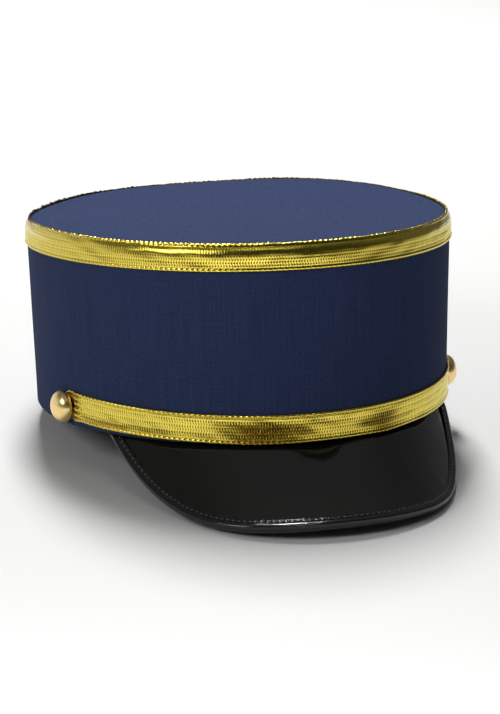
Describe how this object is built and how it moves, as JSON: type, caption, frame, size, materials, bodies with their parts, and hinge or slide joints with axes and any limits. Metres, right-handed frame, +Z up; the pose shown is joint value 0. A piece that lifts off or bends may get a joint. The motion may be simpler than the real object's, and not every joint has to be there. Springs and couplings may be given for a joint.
{
  "type": "conductor hat",
  "caption": "Stiff cloth conductor's hat with a flat top, gold braid round the top edge and across the front between domed buttons, and a glossy bound peak.",
  "frame": {"origin": "on the ground below the middle of the hat's bounding box, with the hat at rest on the rear of its rim and the edge of its peak", "axes": "+Z up from the ground, -Y forwards over the peak, +X towards the wearer's left"},
  "size_m": [0.1894, 0.2496, 0.1116],
  "materials": {
    "crown_cloth": "matte navy cotton-blend cloth over stiff card",
    "gold_braid": "shiny braid woven from flat metallic gold thread",
    "button_gold": "satin pale gold plating",
    "peak_vinyl": "glossy black patent vinyl",
    "binding_vinyl": "glossy black vinyl strip, folded and stitched"
  },
  "bodies": {
    "root": {"crown_side": "crown_cloth", "crown_top": "crown_cloth", "top_braid": "gold_braid", "front_braid": "gold_braid", "button_right": "button_gold", "button_left": "button_gold", "peak": "peak_vinyl", "peak_binding": "binding_vinyl"}
  },
  "joints": []
}
